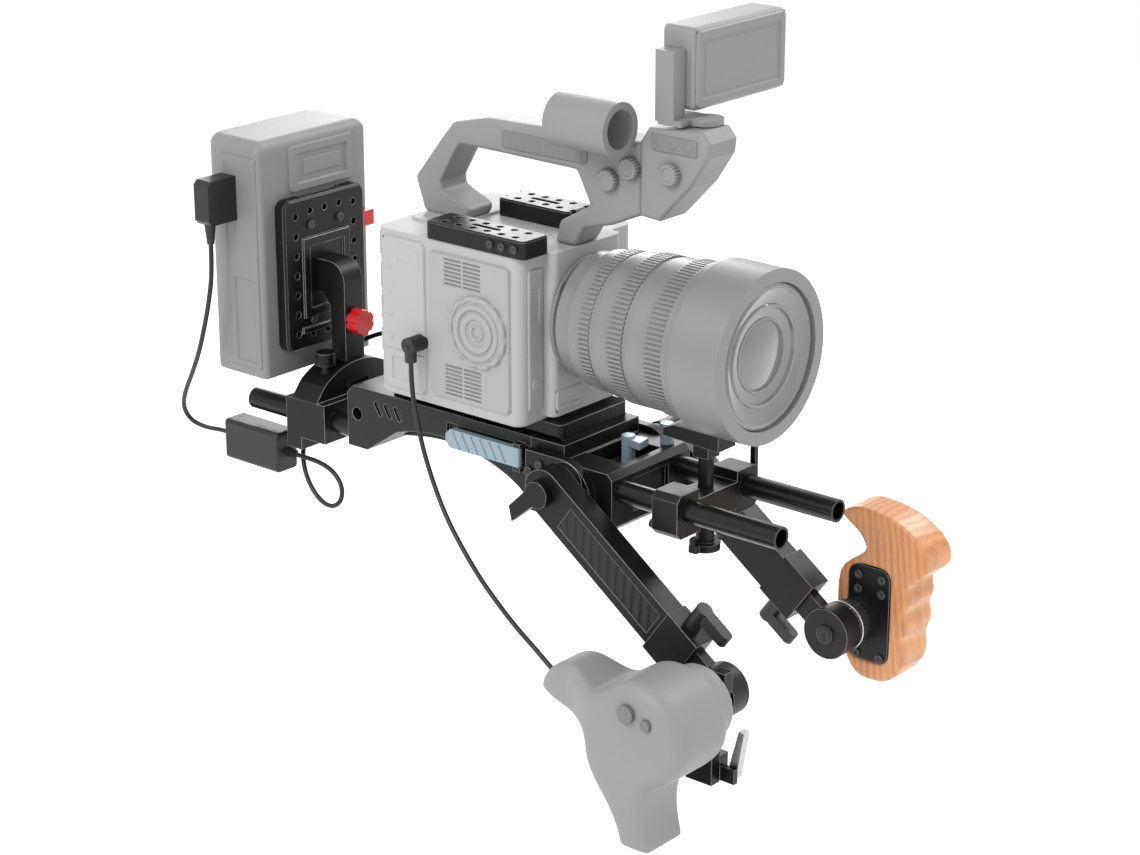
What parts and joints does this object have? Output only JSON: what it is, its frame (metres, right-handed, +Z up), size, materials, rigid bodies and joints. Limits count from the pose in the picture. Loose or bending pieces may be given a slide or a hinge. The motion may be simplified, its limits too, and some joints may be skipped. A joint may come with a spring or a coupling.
{
  "type": "cinema camera rig",
  "caption": "Shoulder rig carrying a cinema camera on rods, with a lens support, two adjustable hand grips, a top handle, a small monitor and a rear battery on a clamp.",
  "frame": {"origin": "mouth of the larger tripod thread under the front block", "axes": "+Z up, the lens looks along -Y, -X is the operator's right, so +X is the operator's left"},
  "size_m": [0.2559, 0.5481, 0.481],
  "materials": {
    "anodised_black": "matte black anodised",
    "black_plastic": "fine grained black plastic",
    "rod_black": "satin black anodised tube",
    "pad_rubber": "soft black foam rubber",
    "lever_blue": "pale steel-blue satin",
    "pale_grey": "pale grey moulded shell",
    "mid_grey": "mid grey moulded plastic",
    "battery_grey": "grey ribbed battery shell",
    "lens_grey": "grey satin paint",
    "lens_glass": "coated front glass",
    "red_metal": "red anodised",
    "steel": "bright machined steel",
    "screw_black": "black oxide",
    "wood": "oiled orange-brown hardwood",
    "cable_rubber": "black cable jacket"
  },
  "bodies": {
    "rig": {"shoulder_plate": "anodised_black", "shoulder_pad": "pad_rubber", "front_block": "anodised_black", "arm_brackets": "anodised_black", "camera_plate": "anodised_black", "front_rods": "rod_black", "rear_rods": "rod_black", "lens_support_block": "anodised_black", "camera_body": "pale_grey", "vent_panel": "mid_grey", "side_cap": "mid_grey", "lens_barrel": "lens_grey", "front_glass": "lens_glass", "right_top_plate": "anodised_black", "left_top_plate": "anodised_black", "top_handle": "mid_grey", "mic_holder": "mid_grey", "handle_head": "mid_grey", "rear_clamp": "anodised_black", "battery_post": "anodised_black", "battery_plate": "anodised_black", "converter_box": "black_plastic", "power_cable": "cable_rubber", "camera_cable": "cable_rubber", "remote_plug": "black_plastic", "remote_cable": "cable_rubber", "socket_screws": "screw_black"},
    "side_lever": {"side_lever": "lever_blue"},
    "front_lever": {"front_lever": "lever_blue"},
    "rod_lock_lever": {"rod_lock_lever": "lever_blue"},
    "support_post": {"lens_support_post": "anodised_black"},
    "post_knob": {"post_knob": "anodised_black"},
    "bridge_wing": {"bridge_wing": "anodised_black"},
    "iris": {"iris_ring": "lens_grey"},
    "zoom": {"zoom_ring": "lens_grey"},
    "focus": {"focus_ring": "lens_grey"},
    "swivel": {"monitor_swivel": "mid_grey"},
    "screen": {"monitor": "mid_grey"},
    "tilt_knob": {"tilt_knob": "red_metal"},
    "upper_knob": {"upper_clamp_knob": "anodised_black"},
    "far_knob": {"far_clamp_knob": "anodised_black"},
    "plate_button": {"release_button": "red_metal"},
    "battery": {"battery": "battery_grey", "power_plug": "black_plastic"},
    "right_arm": {"right_arm_sleeve": "anodised_black"},
    "left_arm": {"left_arm_sleeve": "anodised_black"},
    "right_wing": {"right_pivot_wing": "anodised_black"},
    "left_wing": {"left_pivot_wing": "anodised_black"},
    "right_clamp": {"right_clamp_lever": "black_plastic"},
    "left_clamp": {"left_clamp_lever": "black_plastic"},
    "right_slide": {"right_arm_bar": "anodised_black"},
    "left_slide": {"left_arm_bar": "anodised_black"},
    "right_hand": {"right_adapter": "anodised_black", "right_grip": "mid_grey"},
    "left_hand": {"left_rosette": "steel", "handle_core": "anodised_black", "wood_handle": "wood"},
    "quick_lever": {"quick_lever": "steel"},
    "hand_button": {"grip_button": "lens_grey"},
    "hand_dial": {"grip_dial": "lens_grey"}
  },
  "joints": [
    {"name": "side_lever_swing", "type": "hinge", "parent": "rig", "child": "side_lever", "pos_m": [-0.0414, 0.032, 0.035], "axis": [0, 0, 1], "range_deg": [0, 80]},
    {"name": "front_lever_turn", "type": "hinge", "parent": "rig", "child": "front_lever", "pos_m": [0.011, -0.017, 0.0283], "axis": [0, 0, 1], "range_deg": [0, 80]},
    {"name": "rod_lock_turn", "type": "hinge", "parent": "rig", "child": "rod_lock_lever", "pos_m": [0.03, -0.034, 0.0403], "axis": [0, 0, 1], "range_deg": [0, 90]},
    {"name": "support_post_slide", "type": "slide", "parent": "rig", "child": "support_post", "axis": [0, 0, 1], "range_m": [-0.01, 0]},
    {"name": "post_knob_turn", "type": "hinge", "parent": "rig", "child": "post_knob", "pos_m": [0, -0.089, 0], "axis": [0, 0, 1], "continuous": true},
    {"name": "bridge_wing_turn", "type": "hinge", "parent": "rig", "child": "bridge_wing", "pos_m": [0.0423, -0.093, 0.02], "axis": [1, 0, 0], "continuous": true},
    {"name": "iris_turn", "type": "hinge", "parent": "rig", "child": "iris", "pos_m": [0, -0.021, 0.128], "axis": [0, 1, 0], "range_deg": [0, 90]},
    {"name": "zoom_turn", "type": "hinge", "parent": "rig", "child": "zoom", "pos_m": [0, -0.046, 0.128], "axis": [0, 1, 0], "range_deg": [0, 90]},
    {"name": "focus_turn", "type": "hinge", "parent": "rig", "child": "focus", "pos_m": [0, -0.077, 0.128], "axis": [0, 1, 0], "range_deg": [0, 270]},
    {"name": "monitor_swivel_turn", "type": "hinge", "parent": "rig", "child": "swivel", "pos_m": [0.006, -0.08, 0.2643], "axis": [0, 0, 1], "range_deg": [-90, 45]},
    {"name": "monitor_tilt", "type": "hinge", "parent": "swivel", "child": "screen", "pos_m": [0, -0.063, 0.298], "axis": [1, 0, 0], "range_deg": [-90, 90]},
    {"name": "tilt_knob_turn", "type": "hinge", "parent": "rig", "child": "tilt_knob", "pos_m": [0, 0.213, 0.08], "axis": [0, 1, 0], "continuous": true},
    {"name": "upper_knob_turn", "type": "hinge", "parent": "rig", "child": "upper_knob", "pos_m": [-0.022, 0.226, 0.056], "axis": [0, 0, 1], "continuous": true},
    {"name": "far_knob_turn", "type": "hinge", "parent": "rig", "child": "far_knob", "pos_m": [0.046, 0.228, 0.022], "axis": [1, 0, 0], "continuous": true},
    {"name": "release_press", "type": "slide", "parent": "rig", "child": "plate_button", "axis": [-1, 0, 0], "range_m": [0, 0.003], "stiffness_N_per_m": 400},
    {"name": "battery_lift", "type": "slide", "parent": "rig", "child": "battery", "axis": [0, 0, 1], "range_m": [0, 0.045], "deforming": ["power_cable"]},
    {"name": "right_arm_tilt", "type": "hinge", "parent": "rig", "child": "right_arm", "pos_m": [-0.0601, -0.0114, 0.0288], "axis": [1, 0, 0], "range_deg": [-36, 50], "deforming": ["remote_cable"]},
    {"name": "right_wing_turn", "type": "hinge", "parent": "rig", "child": "right_wing", "pos_m": [-0.07, -0.0114, 0.0288], "axis": [1, 0, 0], "continuous": true},
    {"name": "right_clamp_turn", "type": "hinge", "parent": "right_arm", "child": "right_clamp", "pos_m": [-0.0601, -0.12593, -0.03303], "axis": [0, -0.5878, 0.809], "range_deg": [-60, 60]},
    {"name": "right_arm_extend", "type": "slide", "parent": "right_arm", "child": "right_slide", "axis": [0, -0.809, -0.5878], "range_m": [-0.006, 0.045]},
    {"name": "right_grip_tilt", "type": "hinge", "parent": "right_slide", "child": "right_hand", "pos_m": [-0.07, -0.14812, -0.07054], "axis": [1, 0, 0], "range_deg": [-50, 50]},
    {"name": "left_arm_tilt", "type": "hinge", "parent": "rig", "child": "left_arm", "pos_m": [0.0601, -0.0114, 0.0288], "axis": [1, 0, 0], "range_deg": [-36, 50]},
    {"name": "left_wing_turn", "type": "hinge", "parent": "rig", "child": "left_wing", "pos_m": [0.07, -0.0114, 0.0288], "axis": [1, 0, 0], "continuous": true},
    {"name": "left_clamp_turn", "type": "hinge", "parent": "left_arm", "child": "left_clamp", "pos_m": [0.0601, -0.10559, -0.06102], "axis": [0, 0.5878, -0.809], "range_deg": [-60, 60]},
    {"name": "left_arm_extend", "type": "slide", "parent": "left_arm", "child": "left_slide", "axis": [0, -0.809, -0.5878], "range_m": [-0.006, 0.045]},
    {"name": "left_grip_tilt", "type": "hinge", "parent": "left_slide", "child": "left_hand", "pos_m": [0.07, -0.14812, -0.07054], "axis": [1, 0, 0], "range_deg": [-60, 60]},
    {"name": "quick_lever_turn", "type": "hinge", "parent": "right_hand", "child": "quick_lever", "pos_m": [-0.062, -0.16212, -0.12054], "axis": [1, 0, 0], "range_deg": [0, 60]},
    {"name": "hand_button_press", "type": "slide", "parent": "right_hand", "child": "hand_button", "axis": [1, 0, 0], "range_m": [0, 0.0012], "stiffness_N_per_m": 400},
    {"name": "hand_dial_turn", "type": "hinge", "parent": "right_hand", "child": "hand_dial", "pos_m": [-0.137, -0.136, -0.062], "axis": [1, 0, 0], "continuous": true}
  ]
}
